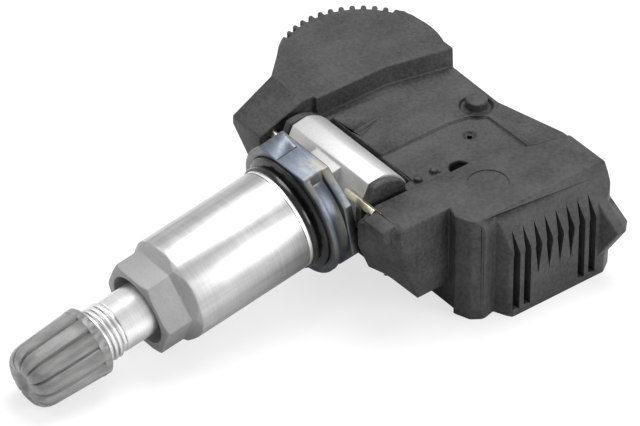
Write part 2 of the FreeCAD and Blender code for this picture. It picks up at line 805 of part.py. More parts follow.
def add_cradle(body):
    """The cradle round the foot: a notch, half-round end walls and the bearing itself."""
    gap, middle = size.ear_gap, size.foot_height
    notch = sketch_on(body, "NotchPlan", "XY_Plane")
    outline(notch, [(-gap, -2 * size.ear_front), (gap, -2 * size.ear_front), (gap, size.notch_back),
                    (-gap, size.notch_back)])
    pocket(body, "Notch", notch, size.lobe_height, size.notch_floor)
    boss = sketch_on(body, "CradleBoss", "YZ_Plane")
    circle_on(boss, ZERO, middle, size.cradle_boss_radius)
    pad_midplane("Pad", body, "CradleBossPad", boss, 2 * size.cradle_boss_half)
    trim = sketch_on(body, "CradleBossFront", "YZ_Plane")
    reach = -2 * size.ear_front
    outline(trim, [(reach, ZERO), (-size.cradle_front, ZERO), (-size.cradle_front, middle),
                   (-size.cradle_boss_front, middle), (-size.cradle_boss_front, size.lobe_height),
                   (reach, size.lobe_height)])
    pad_midplane("Pocket", body, "CradleBossTrim", trim, 2 * size.cradle_boss_half)
    bearing = sketch_on(body, "CradleSection", "YZ_Plane")
    circle_on(bearing, ZERO, middle, size.foot_radius + size.foot_gap)
    pad_midplane("Pocket", body, "Cradle", bearing, size.foot_length + 2 * size.end_gap)
    mouth = sketch_on(body, "CradleMouth", "XY_Plane")
    half, rear = size.foot_length / 2 + size.end_gap, size.foot_radius + size.foot_gap
    outline(mouth, [(-half, -size.ear_front), (half, -size.ear_front), (half, rear), (-half, rear)])
    pocket(body, "CradleMouthCut", mouth, size.lobe_height, middle)


def add_ear_shapes(body):
    """The ears' undersides lean back, the left ear tapers outwards, and the right ear's top front edge is chamfered."""
    low, front, height = size.ear_bottom, size.ear_front, size.body_height
    reach, outside = front + 2, size.ear_left + 2
    near = [(-reach, -low), (-reach, low * 3), (-front, low * 3), (-front * 0.65, low * 1.8),
            (ZERO, low), (size.ear_slope_end, low), (size.ear_slope_end, -low)]
    far = [(-reach, -low), (-reach, height + 1), (-front * 0.6, height + 1), (-front * 0.3, low * 2.5),
           (ZERO, low), (size.ear_slope_end, low), (size.ear_slope_end, -low)]
    left = sketch_on(body, "EarUnderLeft", "YZ_Plane")
    outline(left, near)
    pocket(body, "EarUnderLeftCut", left, outside - size.ear_gap, -outside)
    sections = []
    for name, corners, offset in (("Near", near, size.ear_gap), ("Far", far, outside)):
        section = sketch_on(body, f"EarUnderRight{name}", "YZ_Plane")
        outline(section, corners)
        section.setExpression("AttachmentOffset.Base.z", offset.formula)
        sections.append(section)
    loft = body.newObject("PartDesign::SubtractiveLoft", "EarUnderRightCut")
    loft.Profile = sections[0]
    loft.Sections = sections[1:]
    loft.Ruled = True
    recess = sketch_on(body, "FrontRecess", "YZ_Plane")
    outline(recess, [(-reach, -low), (-reach, low), (size.body_front, low), (size.body_front, -low)])
    pocket(body, "FrontRecessCut", recess, outside + size.recess_left, -size.recess_left)
    taper = sketch_on(body, "EarTaper", "XZ_Plane")
    outer, top = -size.ear_left - 3, size.ear_taper_top
    rise = 5.4
    outline(taper, [(outer, -low), (outer, top), (-size.ear_left, top), (-size.ear_left + rise, top - rise),
                    (-size.ear_left + rise, -low)])
    item = pocket(body, "EarTaperCut", taper, reach + size.ear_slope_end, -size.ear_slope_end)
    item.Reversed = True
    chamfer = sketch_on(body, "EarChamfer", "YZ_Plane")
    wide = size.ear_chamfer
    outline(chamfer, [(-reach, height - 2 * wide), (-front, height - wide), (-front + 2 * wide, height),
                      (-front + 2 * wide, height + 1), (-reach, height + 1)])
    pocket(body, "EarChamferCut", chamfer, size.ear_left, size.ear_gap)


def platform_curve():
    """Corners of the platform's stepped edge, from the cradle to the back."""
    edge, turn = size.platform_x, size.platform_turn
    return [(edge, size.notch_back), (edge, turn - 3), (edge + 0.2, turn), (edge + 1.3, turn + 2.3),
            (edge + 2.1, size.pocket_back)]


def add_top_details(body):
    """The field and the pocket in the top, the button and the pressure port."""
    reach = size.body_back + 2
    field = sketch_on(body, "FieldPlan", "XY_Plane")
    outline(field, [(size.plate_edge, size.notch_back)] + platform_curve() +
            [(size.platform_back_x, reach), (size.plate_back_right, reach),
             (size.plate_back_right, size.plate_back), (size.plate_edge, size.lobe_y + 1)])
    pocket(body, "FieldCut", field, size.lobe_height, size.body_height - size.field_drop)
    sunk = sketch_on(body, "PocketPlan", "XY_Plane")
    left, back = size.pocket_left, size.pocket_back
    outline(sunk, [(left, size.notch_back)] + platform_curve() +
            [(left + 2.1, back), (left + 0.6, back - 2), (left, back - 5)])
    low = size.body_height - size.pocket_drop
    pocket(body, "PocketCut", sunk, size.lobe_height, low)
    button = sketch_on(body, "ButtonPlan", "XY_Plane")
    circle_on(button, size.button_x, size.button_y, size.button_radius)
    pad(body, "Button", button, size.pocket_drop + size.button_height, low)
    port = sketch_on(body, "PortPlan", "XY_Plane")
    circle_on(port, size.port_x, size.port_y, size.port_radius)
    pocket(body, "Port", port, low - board_top(), board_top())


def add_vents(body):
    """The vent wall: its upper part slopes inwards, and eight slots cross the bend."""
    slope = sketch_on(body, "VentSlope", "XZ_Plane")
    right, top = size.body_right, size.body_height - size.vent_lip
    low = top - size.vent_slope_height
    outline(slope, [(right, low), (right + 1, low), (right + 1, size.body_height + 1),
                    (right - size.vent_slope - 0.8, size.body_height + 1),
                    (right - size.vent_slope - 0.8, size.body_height), (right - size.vent_slope, top)])
    sloping = body.newObject("PartDesign::Pocket", "VentSlopeCut")
    sloping.Profile = slope
    sloping.Midplane = True
    bind(sloping, Length=4 * size.body_back)
    for number in range(8):
        middle = size.vent_first + number * size.vent_pitch
        half = size.vent_width / 2
        long_slot = number in (0, 1, 6, 7)
        sketch = sketch_on(body, f"Vent{number + 1}Outline", "YZ_Plane")
        if long_slot:
            corners = [(middle - half, size.vent_bottom), (middle + half, size.vent_bottom)]
        else:
            corners = [(middle, size.vent_short_bottom)]
        corners += [(middle + half, size.vent_kink), (middle, size.vent_top), (middle - half, size.vent_kink)]
        outline(sketch, corners)
        depth = size.vent_depth + size.vent_slope
        pocket(body, f"Vent{number + 1}", sketch, depth, size.body_right - depth)


def add_bay(body):
    """The bay for the cell and the board, open below, with ledges for the board and the lid."""
    lid_recess = sketch_on(body, "LidRecess", "XY_Plane")
    bay_outline(lid_recess, size.lid_ledge)
    pocket(body, "LidRecessCut", lid_recess, size.lid_thickness)
    lid_disc = sketch_on(body, "LidDisc", "XY_Plane")
    circle_on(lid_disc, size.lobe_x, size.lobe_y, size.cell_radius + size.lid_ledge)
    pocket(body, "LidDiscCut", lid_disc, size.lid_thickness)
    lower = sketch_on(body, "LowerBay", "XY_Plane")
    bay_outline(lower, ZERO)
    pocket(body, "LowerBayCut", lower, board_top())
    lower_disc = sketch_on(body, "LowerDisc", "XY_Plane")
    circle_on(lower_disc, size.lobe_x, size.lobe_y, size.cell_radius)
    pocket(body, "LowerDiscCut", lower_disc, board_top())
    upper = sketch_on(body, "UpperBay", "XY_Plane")
    bay_outline(upper, -size.board_ledge)
    pocket(body, "UpperBayCut", upper, size.body_height - size.wall)
    upper_disc = sketch_on(body, "UpperDisc", "XY_Plane")
    circle_on(upper_disc, size.lobe_x, size.lobe_y, size.cell_radius + size.lid_gap)
    pocket(body, "UpperDiscCut", upper_disc, size.body_height - size.wall)


def make_base_cover():
    """The lid that closes the bay, with posts that hold the board up against its ledge."""
    body = new_body("BaseCover")
    plate = sketch_on(body, "CoverPlan", "XY_Plane")
    bay_outline(plate, size.lid_ledge - size.lid_gap)
    pad(body, "CoverPlate", plate, size.lid_thickness)
    disc = sketch_on(body, "CoverDisc", "XY_Plane")
    circle_on(disc, size.lobe_x, size.lobe_y, size.cell_radius + size.lid_ledge - size.lid_gap)
    pad(body, "CoverLobe", disc, size.lid_thickness)
    posts = sketch_on(body, "PostPlan", "XY_Plane")
    half = size.post_side / 2
    inset = size.post_side
    for x in (size.bay_left + size.cell_radius / 2 + inset, size.bay_right - inset):
        for y in (size.bay_front + inset, size.bay_back - inset):
            outline(posts, [(x - half, y - half), (x + half, y - half), (x + half, y + half), (x - half, y + half)])
    pad(body, "Posts", posts, board_bottom())
    return finish(body, "base_cover")


def clip_lean():
    """The clip's plane lies square to the foot's front flats."""
    return size.foot_flat_angle.value - size.droop.value


def clip_outline(sketch, side, gap):
    """The L of one spring clip, seen along its width: an arm across the foot and a leg back into the ear."""
    front = size.foot_front_flat + size.clip_gap + size.clip_thickness + gap
    rear = size.foot_front_flat + size.clip_gap - gap
    tip = (size.clip_reach - gap) * side
    outer = (size.clip_half + gap) * side
    inner = (size.clip_half - size.clip_thickness - gap) * side
    end = size.clip_leg - size.foot_front_flat + gap
    outline(sketch, [(tip, -front), (outer, -front), (outer, end), (inner, end), (inner, -rear), (tip, -rear)])


def lean_sketch(sketch, height):
    """Tilt a sketch to the clip's plane and lift it above the foot's middle by a height along its normal."""
    turn = FreeCAD.Rotation(FreeCAD.Vector(1, 0, 0), -clip_lean())
    centre = FreeCAD.Vector(0, 0, size.foot_height.value)
    sketch.AttachmentOffset = FreeCAD.Placement(centre + turn.multVec(FreeCAD.Vector(0, 0, height)), turn)


def add_clip_slots(body):
    """Slots in the ears for the two spring clips, and room in front of the cradle's end walls."""
    for side, name in ((-1, "Left"), (1, "Right")):
        slot = sketch_on(body, f"ClipSlot{name}", "XY_Plane")
        clip_outline(slot, side, size.seat_gap)
        lean_sketch(slot, size.clip_height.value - size.seat_gap.value)
        item = body.newObject("PartDesign::Pocket", f"ClipSlot{name}Cut")
        item.Profile = slot
        item.Reversed = True
        bind(item, Length=size.clip_width + 2 * size.seat_gap)
        room = sketch_on(body, f"ClipRoom{name}", "XY_Plane")
        near, far = size.clip_reach * side, size.ear_gap * side
        rear = -size.foot_front_flat - size.clip_gap + size.seat_gap
        outline(room, [(near, rear - size.ear_front), (far, rear - size.ear_front), (far, rear), (near, rear)])
        lean_sketch(room, size.clip_height.value - size.seat_gap.value)
        item = body.newObject("PartDesign::Pocket", f"ClipRoom{name}Cut")
        item.Profile = room
        item.Reversed = True
        bind(item, Length=size.lobe_height)


def make_clip(side, label):
    """One spring clip: its arm bears on the foot's flat beside the neck."""
    body = new_body("Clip" + ("Left" if side < 0 else "Right"))
    sketch = sketch_on(body, body.Name + "Outline", "XY_Plane")
    clip_outline(sketch, side, ZERO)
    lean_sketch(sketch, size.clip_height.value)
    strip = body.newObject("PartDesign::Pad", body.Name + "Strip")
    strip.Profile = sketch
    bind(strip, Length=size.clip_width)
    return finish(body, label)


# Inside the housing

def make_board():
    """The circuit board, cut to the bay's outline."""
    body = new_body("Board")
    plan = sketch_on(body, "BoardPlan", "XY_Plane")
    bay_outline(plan, -size.end_gap)
    pad(body, "BoardPlate", plan, size.board_thickness, board_bottom())
    disc = sketch_on(body, "BoardDiscPlan", "XY_Plane")
    circle_on(disc, size.lobe_x, size.lobe_y, size.cell_radius - size.end_gap)
    pad(body, "BoardDisc", disc, size.board_thickness, board_bottom())
    return finish(body, "circuit_board")


def make_cell():
    """The coin cell and its two welded contact strips."""
    low = board_top() + size.tab_thickness
    high = low + size.cell_height
    radius = size.cell_radius - size.end_gap
    cell = finish_solid(cylinder("CoinCell", radius, size.cell_height, size.lobe_x, size.lobe_y, low), "coin_cell")
    half = size.tab_width / 2
    lower = box("TabLower", (size.lobe_x - radius / 2, size.lobe_x + radius / 2),
                (size.lobe_y - half, size.lobe_y + half), (board_top(), low))
    upper = box("TabUpper", (size.lobe_x - radius / 2, size.lobe_x + radius / 2),
                (size.lobe_y - half, size.lobe_y + half), (high, high + size.tab_thickness))
    return [cell, finish_solid(lower, "cell_tab_lower"), finish_solid(upper, "cell_tab_upper")]


def finish_solid(item, label):
    """Name a finished primitive, which already stands in its place."""
    item.Label = label
    return item


def make_sensor():
    """The pressure chip under the port, with the seal and the filter between them."""
    half = size.chip_size / 2
    x, y, low = size.port_x, size.port_y, board_top()
    chip = box("Chip", (x - half, x + half), (y - half, y + half), (low, low + size.chip_height))
    ceiling = size.body_height - size.wall
    seal_low = low + size.chip_height + size.filter_thickness
    outer = cylinder("SealOuter", size.port_radius + size.seal_wall, ceiling - seal_low, x, y, seal_low)
    inner = cylinder("SealInner", size.port_radius, ceiling, x, y, low)
    seal = cut("PortSeal", outer, [inner])
    filter_disc = cylinder("PortFilter", size.port_radius + size.seal_wall, size.filter_thickness, x, y,
                           low + size.chip_height)
    return [finish_solid(chip, "pressure_chip"), finish_solid(seal, "port_seal"),
            finish_solid(filter_disc, "port_filter")]


def make_coil():
    """The ferrite coil that wakes the sensor: a flanged core and its winding."""
    x = size.lobe_x + size.cell_radius + size.coil_gap + size.coil_length / 2
    y = size.coil_y
    low = board_top()
    half, flange = size.coil_length / 2, size.coil_flange
    wide = size.coil_width / 2
    middle = box("CoreMiddle", (x - half, x + half), (y - wide + flange, y + wide - flange),
                 (low + flange, low + size.coil_width - flange))
    ends = [box(f"CoreEnd{name}", span, (y - wide, y + wide), (low, low + size.coil_width))
            for name, span in (("Left", (x - half, x - half + 2 * flange)),
                               ("Right", (x + half - 2 * flange, x + half)))]
    core = join("CoilCore", [middle] + ends)
    inside = (x - half + 2 * flange, x + half - 2 * flange)
    wound = box("WindingOuter", inside, (y - wide + 0.1, y + wide - 0.1), (low + 0.1, low + size.coil_width - 0.1))
    hollow = box("WindingInner", (x - half, x + half), (y - wide + flange, y + wide - flange),
                 (low + flange, low + size.coil_width - flange))
    winding = cut("CoilWinding", wound, [hollow])
    return [finish_solid(core, "coil_core"), finish_solid(winding, "coil_winding")]


def make_board_parts():
    """The crystal, two buffer capacitors and the controller chip on the board."""
    low = board_top()
    parts = [("Crystal", "crystal", size.crystal_x, size.crystal_y,
              size.crystal_length, size.crystal_width, size.crystal_height)]
    for number in (1, 2):
        parts.append((f"Capacitor{number}", f"capacitor_{number}", size.capacitor_x,
                      size.capacitor_y + (number - 1) * 2 * size.capacitor_width,
                      size.capacitor_length, size.capacitor_width, size.capacitor_height))
    made = []
    for name, label, x, y, length, width, height in parts:
        item = box(name, (x - length / 2, x + length / 2), (y - width / 2, y + width / 2), (low, low + height))
        made.append(finish_solid(item, label))
    return made


def make_aerial():
    """The transmitting aerial: a wire bridge that stands on the board."""
    low, wire = board_top(), size.loop_wire
    right = size.bay_right - size.board_ledge - 0.4
    back = size.bay_back - size.board_ledge - 0.4
    left = right - size.loop_length
    low_y = back - wire
    top = low + size.loop_height
    legs = [box("LoopLegLeft", (left, left + wire), (low_y, back), (low, top)),
            box("LoopLegRight", (right - wire, right), (low_y, back), (low, top)),
            box("LoopBridge", (left, right), (low_y, back), (top - wire, top))]
    return finish_solid(join("Aerial", legs), "aerial")


subparts = [make_valve_stem(), make_collar(), make_grommet(), make_slip_washer(), make_union_nut(),
            make_dust_cap(), make_cap_seal()]
subparts += make_valve_core()
subparts += [make_housing(), make_base_cover(), make_clip(-1, "spring_clip_left"),
             make_clip(1, "spring_clip_right"), make_board()]
subparts += make_cell() + make_sensor() + make_coil() + make_board_parts() + [make_aerial()]

doc.recompute()
for item in doc.Objects:
    if "Invalid" in item.State or "Error" in item.State:
        raise RuntimeError(f"{item.Name} failed: {item.State}")
for item in subparts:
    shape = item.Shape
    if shape.isNull() or not shape.isValid():
        raise RuntimeError(f"{item.Label} has no valid shape")
    shape.exportStep(f"parts/{item.Label}.step")
    print(item.Label, len(shape.Solids), round(shape.Volume, 1))
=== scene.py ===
# %% [markdown]
# # A tyre pressure sensor
# The sensor sits inside a car's wheel. A dark moulded housing holds the battery and the radio,
# and a metal valve swivels in its cradle and leads out through the rim.
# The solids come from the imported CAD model, which is loaded as a fixed frame.
# This lesson dresses them: it gives every solid a finish of its own, and models again, with
# finer edges and details, the pieces that the camera sees best.

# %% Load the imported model
import math
import bpy
from mathutils import Matrix, Vector


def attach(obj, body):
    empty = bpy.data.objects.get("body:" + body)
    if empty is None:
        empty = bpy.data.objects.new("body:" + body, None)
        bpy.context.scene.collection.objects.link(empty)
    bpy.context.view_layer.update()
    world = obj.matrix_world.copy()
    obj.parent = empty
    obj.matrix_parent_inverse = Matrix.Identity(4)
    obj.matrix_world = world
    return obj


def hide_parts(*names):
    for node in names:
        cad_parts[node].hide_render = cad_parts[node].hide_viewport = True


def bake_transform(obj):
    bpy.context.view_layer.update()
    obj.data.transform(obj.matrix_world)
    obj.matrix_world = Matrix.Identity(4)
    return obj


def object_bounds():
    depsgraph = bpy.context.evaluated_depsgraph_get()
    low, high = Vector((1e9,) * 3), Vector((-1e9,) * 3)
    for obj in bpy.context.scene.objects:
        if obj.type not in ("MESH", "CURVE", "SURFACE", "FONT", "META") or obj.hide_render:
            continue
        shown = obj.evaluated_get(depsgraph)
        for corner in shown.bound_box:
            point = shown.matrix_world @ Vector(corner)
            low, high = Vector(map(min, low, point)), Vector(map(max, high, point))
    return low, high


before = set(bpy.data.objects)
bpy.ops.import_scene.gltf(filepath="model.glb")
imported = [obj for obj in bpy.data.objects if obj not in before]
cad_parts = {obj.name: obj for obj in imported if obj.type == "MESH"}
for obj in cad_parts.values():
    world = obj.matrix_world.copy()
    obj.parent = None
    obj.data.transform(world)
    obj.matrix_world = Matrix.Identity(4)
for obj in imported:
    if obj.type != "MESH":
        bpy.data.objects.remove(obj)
cad_low, cad_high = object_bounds()
MM = 0.001
print("The CAD box is", [round(side / MM, 1) for side in cad_high - cad_low], "mm")

# %% [markdown]
# The valve leans out of the housing, so its pieces are easier to make upright and then laid
# along its axis. The axis starts at the middle of the valve's foot, and it droops by about ten
# degrees. The matrix below takes a point in millimetres on an upright valve to its real place.

# %% The valve's axis
DROOP = math.radians(10.1)
FOOT = Vector((0, 0, 13.35)) * MM
VALVE = Matrix.Translation(FOOT) @ Matrix.Rotation(math.pi / 2 + DROOP, 4, "X") @ Matrix.Scale(MM, 4)
print("The valve's tip lies at", [round(side / MM, 1) for side in VALVE @ Vector((0, 0, 52.8))], "mm")

# %% [markdown]
# ## Camera
# Far edges look almost as large as near ones in the photograph. How far away its camera stood
# can't be read off it, and a long lens from a distance is one choice that fits. The camera looks
# down at about 38 degrees, past the valve's cap, and it is moved sideways and down without
# turning, so that the foot's middle lands on the same pixel as in the photograph.

# %% Camera
IMAGE_WIDTH, IMAGE_HEIGHT = 640, 426
SENSOR = 36
AZIMUTH, ELEVATION = math.radians(52.4), math.radians(37.7)
FOCAL_PIXELS = 5800
DISTANCE = 784 * MM
FOOT_PIXEL = (338.7, 179.8)

back = Vector((math.sin(AZIMUTH) * math.cos(ELEVATION), -math.cos(AZIMUTH) * math.cos(ELEVATION),
               math.sin(ELEVATION)))
right = Vector((math.cos(AZIMUTH), math.sin(AZIMUTH), 0))
up = back.cross(right)
pixel = DISTANCE / FOCAL_PIXELS
place = FOOT + back * DISTANCE - right * (FOOT_PIXEL[0] - IMAGE_WIDTH / 2) * pixel
place -= up * (IMAGE_HEIGHT / 2 - FOOT_PIXEL[1]) * pixel

camera = bpy.data.objects.new("camera", bpy.data.cameras.new("camera"))
bpy.context.collection.objects.link(camera)
camera.matrix_world = Matrix.Translation(place) @ Matrix((right, up, back)).transposed().to_4x4()
camera.data.sensor_width = SENSOR
camera.data.lens = FOCAL_PIXELS * SENSOR / IMAGE_WIDTH
camera.data.clip_start, camera.data.clip_end = 0.05, 50
bpy.context.scene.camera = camera
print("The lens is", round(camera.data.lens), "mm")

# %% [markdown]
# ## Writing materials as expressions
# A material in Blender is a graph of nodes. Drawn by hand it is a web of wires; in a script it
# reads better as arithmetic. This small class holds one output socket. Adding or multiplying
# it makes the Math node that does so, and `node` makes any other node from its type, its
# settings and the values of its sockets.

# %% A socket that can stand in an expression
class Shade:
    """One output socket of a node tree."""

    def __init__(self, tree, socket=None):
        self.tree = tree
        self.socket = socket

    def node(self, kind, settings=None, inputs=None, output=0):
        made = self.tree.nodes.new(kind)
        for name, value in (settings or {}).items():
            if name == "stops":
                for stop, (position, colour) in zip(ramp_stops(made, len(value)), value):
                    stop.position, stop.color = position, (*colour, 1)
            else:
                setattr(made, name, value)
        for name, value in (inputs or {}).items():
            if isinstance(value, Shade):
                self.tree.links.new(value.socket, made.inputs[name])
            else:
                made.inputs[name].default_value = value
        return Shade(self.tree, made.outputs[output])

    def math(self, operation, *others, clamp=False):
        settings = {"operation": operation, "use_clamp": clamp}
        return self.node("ShaderNodeMath", settings, dict(enumerate((self, *others))))

    def __add__(self, other):
        return self.math("ADD", other)

    def __mul__(self, other):
        return self.math("MULTIPLY", other)

    def __rsub__(self, other):
        return self.node("ShaderNodeMath", {"operation": "SUBTRACT"}, {0: other, 1: self})

    __radd__, __rmul__ = __add__, __mul__

    def between(self, low, high):
        """0 below low, 1 above high and a smooth step between."""
        return self.node("ShaderNodeMapRange", {"interpolation_type": "SMOOTHSTEP"},
                         {"Value": self, "From Min": low, "From Max": high})

    def noise(self, scale, detail=2.0, roughness=0.5):
        """Noise over this position, about 0.5 on average."""
        inputs = {"Vector": self, "Scale": scale, "Detail": detail, "Roughness": roughness}
        return self.node("ShaderNodeTexNoise", {}, inputs)

    def stretched(self, x, y, z):
        """This position with its three directions scaled."""
        return self.node("ShaderNodeMapping", {}, {"Vector": self, "Scale": (x, y, z)})

    def mix(self, first, second):
        """The first colour where this is 0 and the second where it is 1."""
        def plug(value):
            return value if isinstance(value, Shade) else (*value, 1)
        return self.node("ShaderNodeMix", {"data_type": "RGBA"},
                         {0: self, 6: plug(first), 7: plug(second)}, output=2)

    def bump(self, strength, distance, normal=None):
        """A normal that follows this height, with the distance in millimetres."""
        inputs = {"Height": self, "Strength": strength, "Distance": distance * MM}
        if normal is not None:
            inputs["Normal"] = normal
        return self.node("ShaderNodeBump", {}, inputs)


def ramp_stops(made, count):
    """The colour ramp's stops, after adding those that it lacks."""
    stops = made.color_ramp.elements
    while len(stops) < count:
        stops.new(0.5)
    return stops


# %% [markdown]
# Every finish starts the same way: a Principled shader, and positions in millimetres on the
# object. A pattern that follows the turned valve needs positions along its axis instead, and a
# Mapping node of the Texture kind undoes the valve's lean.

# %% Start and end of a finish
def start(name, along_valve=False):
    """A new material's shader, and positions in millimetres on the piece."""
    material = bpy.data.materials.new(name)
    material.use_nodes = True
    shader = material.node_tree.nodes["Principled BSDF"]
    position = Shade(material.node_tree).node("ShaderNodeTexCoord", output=3)
    if along_valve:
        inputs = {"Location": FOOT, "Rotation": (math.pi / 2 + DROOP, 0, 0), "Scale": (MM, MM, MM)}
    else:
        inputs = {"Scale": (MM, MM, MM)}
    inputs["Vector"] = position
    position = position.node("ShaderNodeMapping", {"vector_type": "TEXTURE"}, inputs)
    return material, shader, position


def fill(shader, **sockets):
    """Links or sets the shader's sockets, named with _ for a space."""
    for name, value in sockets.items():
        socket = shader.inputs[name.replace("_", " ")]
        if isinstance(value, Shade):
            value.tree.links.new(value.socket, socket)
        elif isinstance(value, tuple) and len(value) == 3 and socket.type == "RGBA":
            socket.default_value = (*value, 1)
        else:
            socket.default_value = value


# %% [markdown]
# ## Moulded plastic
# The housing is glass-filled nylon, dark grey with a fine spark-eroded texture. Under a soft
# light its tiny pits scatter the gleam, and the surface is never one even tone. Three noises
# do this: a fine one for the texture, a middling one for the flow of the moulding and a coarse
# one for handling marks.

# %% Housing plastic
def moulded_plastic(name, colour, gleam):
    material, shader, position = start(name)
    texture = position.noise(1.9, 3.0, 0.65)
    flow = position.stretched(1, 0.35, 1).noise(0.45, 3.0)
    marks = position.noise(0.14, 4.0, 0.6)
    light = (texture.between(0.3, 0.7) * 0.5 + flow.between(0.35, 0.65) * 0.2
             + marks.between(0.35, 0.65) * 0.3)
    pale = tuple(channel * 4.6 for channel in colour)
    height = texture * 0.7 + flow * 0.3
    fill(shader, Base_Color=light.mix(colour, pale), Roughness=texture * 0.2 + gleam + marks * 0.15,
         Normal=height.bump(0.95, 0.09), Specular_IOR_Level=0.22)
    return material


housing_plastic = moulded_plastic("housing_plastic", (0.0115, 0.0115, 0.0118), 0.33)
lid_plastic = moulded_plastic("lid_plastic", (0.026, 0.0265, 0.0280), 0.45)

# %% [markdown]
# ## Turned and milled aluminium
# A lathe leaves rings as fine as a hair round the sleeve, a little uneven, which pull the
# highlights into long streaks. Noise whose positions are squeezed to almost nothing across the
# axis, and stretched along it, varies along the axis alone, and that is what rings are.

# %% Turned aluminium
def turned_metal(name, colour, dark, rough, milled, satin_tone, ring_pitch=0.12, ring_depth=0.004):
    """Fine rings round the axis, and a satin skin between the stations in milled, where flats are milled."""
    material, shader, position = start(name, along_valve=True)
    rings = position.stretched(0.05, 0.05, 1 / ring_pitch).noise(0.6, 3.0, 0.7)
    strokes = position.stretched(1, 1, 0.04).noise(0.7, 3.0)
    cloud = position.noise(0.35, 3.0)
    tone = (rings * 0.35 + strokes * 0.5 + cloud * 0.15).between(0.26, 0.72)
    colour, roughness = tone.mix(dark, colour), rings * 0.14 + cloud * 0.1 + rough
    station = position.node("ShaderNodeSeparateXYZ", {}, {0: position}, output=2)
    flat = station.between(milled[0], milled[0] + 0.3) * (1 - station.between(milled[1], milled[1] + 0.3))
    satin = position.noise(3.0, 3.0).mix((satin_tone * 0.88,) * 3, (satin_tone * 1.12,) * 3)
    colour = flat.mix(colour, satin)
    roughness = roughness + flat * 0.24
    fill(shader, Base_Color=colour, Metallic=1.0, Roughness=roughness, Normal=rings.bump(0.5, ring_depth))
    return material


aluminium = turned_metal("turned_aluminium", (0.76, 0.76, 0.76), (0.46, 0.46, 0.46), 0.2,
                         (-9, 9), 0.41)
nut_aluminium = turned_metal("nut_aluminium", (0.46, 0.46, 0.46), (0.29, 0.29, 0.29), 0.27,
                             (28.9, 60), 0.255)

# %% [markdown]
# ## Zinc plating
# The collar is steel with a thin passivated zinc layer. The layer is about as thick as a wave
# of light is long, so it shows a blue sheen that drifts to yellow and violet. A ramp over a
# slow noise gives the drift, and weak saturation keeps it metal.

# %% Plated steel
def plated_steel():
    material, shader, position = start("plated_steel", along_valve=True)
    drift = position.stretched(1, 1, 2.2).noise(0.28, 3.0, 0.6)
    film = drift.node("ShaderNodeValToRGB", {"stops": [
        (0.30, (0.075, 0.084, 0.108)), (0.44, (0.092, 0.104, 0.126)), (0.53, (0.128, 0.134, 0.138)),
        (0.62, (0.152, 0.144, 0.124)), (0.72, (0.112, 0.102, 0.116))]}, {0: drift})
    grain = position.noise(4.0, 3.0, 0.6)
    fill(shader, Base_Color=film, Metallic=1.0, Roughness=grain * 0.2 + 0.34, Normal=grain.bump(0.3, 0.01))
    return material


zinc = plated_steel()

# %% [markdown]
# ## Rubber, cap plastic and spring strip
# Rubber seals are black with a greasy shine that is broken by moulding marks. The dust cap is a
# grey plastic that lets some light in, so its edges look softer than the housing's. The clips
# are thin strip with a pale gold plating.

# %% Other visible finishes
def rubber(name, colour=(0.004, 0.004, 0.004)):
    material, shader, position = start(name, along_valve=True)
    marks = position.noise(1.2, 3.0)
    fill(shader, Base_Color=marks.mix(colour, tuple(c * 2.2 for c in colour)),
         Roughness=marks * 0.2 + 0.12, Normal=marks.bump(0.2, 0.03), Specular_IOR_Level=0.3)
    return material


def cap_plastic():
    material, shader, position = start("cap_plastic", along_valve=True)
    streak = position.stretched(1, 1, 0.25).noise(0.9, 3.0)
    grain = position.noise(6.0, 2.0)
    tone = (streak * 0.8 + grain * 0.2).between(0.25, 0.75)
    fill(shader, Base_Color=tone.mix((0.115, 0.115, 0.113), (0.235, 0.235, 0.23)),
         Roughness=grain * 0.15 + 0.3, Normal=grain.bump(0.25, 0.02),
         Subsurface_Weight=0.15, Subsurface_Radius=(0.001, 0.001, 0.001))
    return material


def plated_strip():
    material, shader, position = start("plated_strip")
    rolled = position.stretched(0.3, 6, 6).noise(1.0, 2.0)
    fill(shader, Base_Color=rolled.mix((0.74, 0.68, 0.48), (0.92, 0.88, 0.74)), Metallic=1.0,
         Roughness=rolled * 0.15 + 0.22, Normal=rolled.bump(0.3, 0.01))
    return material


black_rubber = rubber("black_rubber")
cap_grey = cap_plastic()
gold_strip = plated_strip()

# %% [markdown]
# ## Finishes inside
# The inside is seen only when the lid is off, but every piece is made of something. One
# function serves the metals and one the duller materials, and each call says which grain the
# real material has.

# %% Finishes inside
def plain_metal(name, dark, light, rough, grain=3.0):
    material, shader, position = start(name)
    cloud = position.noise(grain, 3.0)
    fill(shader, Base_Color=cloud.mix(dark, light), Metallic=1.0, Roughness=cloud * 0.2 + rough,
         Normal=cloud.bump(0.2, 0.01))
    return material


def dull(name, dark, light, rough, grain=2.0):
    material, shader, position = start(name)
    cloud = position.noise(grain, 3.0)
    fill(shader, Base_Color=cloud.between(0.35, 0.65).mix(dark, light), Roughness=cloud * 0.2 + rough,
         Normal=cloud.bump(0.25, 0.02))
    return material


brass = plain_metal("brass", (0.62, 0.45, 0.20), (0.83, 0.66, 0.36), 0.25)
spring_steel = plain_metal("spring_steel", (0.42, 0.42, 0.43), (0.62, 0.62, 0.63), 0.25)
cell_steel = plain_metal("cell_steel", (0.60, 0.60, 0.60), (0.74, 0.74, 0.75), 0.22)
tinned = plain_metal("tinned_strip", (0.62, 0.61, 0.58), (0.78, 0.77, 0.74), 0.3)
copper = plain_metal("enamelled_copper", (0.50, 0.22, 0.09), (0.78, 0.40, 0.20), 0.25, 6.0)
board_green = dull("board_resin", (0.012, 0.085, 0.035), (0.02, 0.14, 0.06), 0.35, 1.2)
chip_black = dull("chip_epoxy", (0.014, 0.014, 0.015), (0.035, 0.035, 0.036), 0.5)
ferrite = dull("ferrite", (0.03, 0.028, 0.027), (0.075, 0.07, 0.066), 0.55)
silicone = dull("silicone", (0.006, 0.006, 0.006), (0.014, 0.014, 0.014), 0.5)
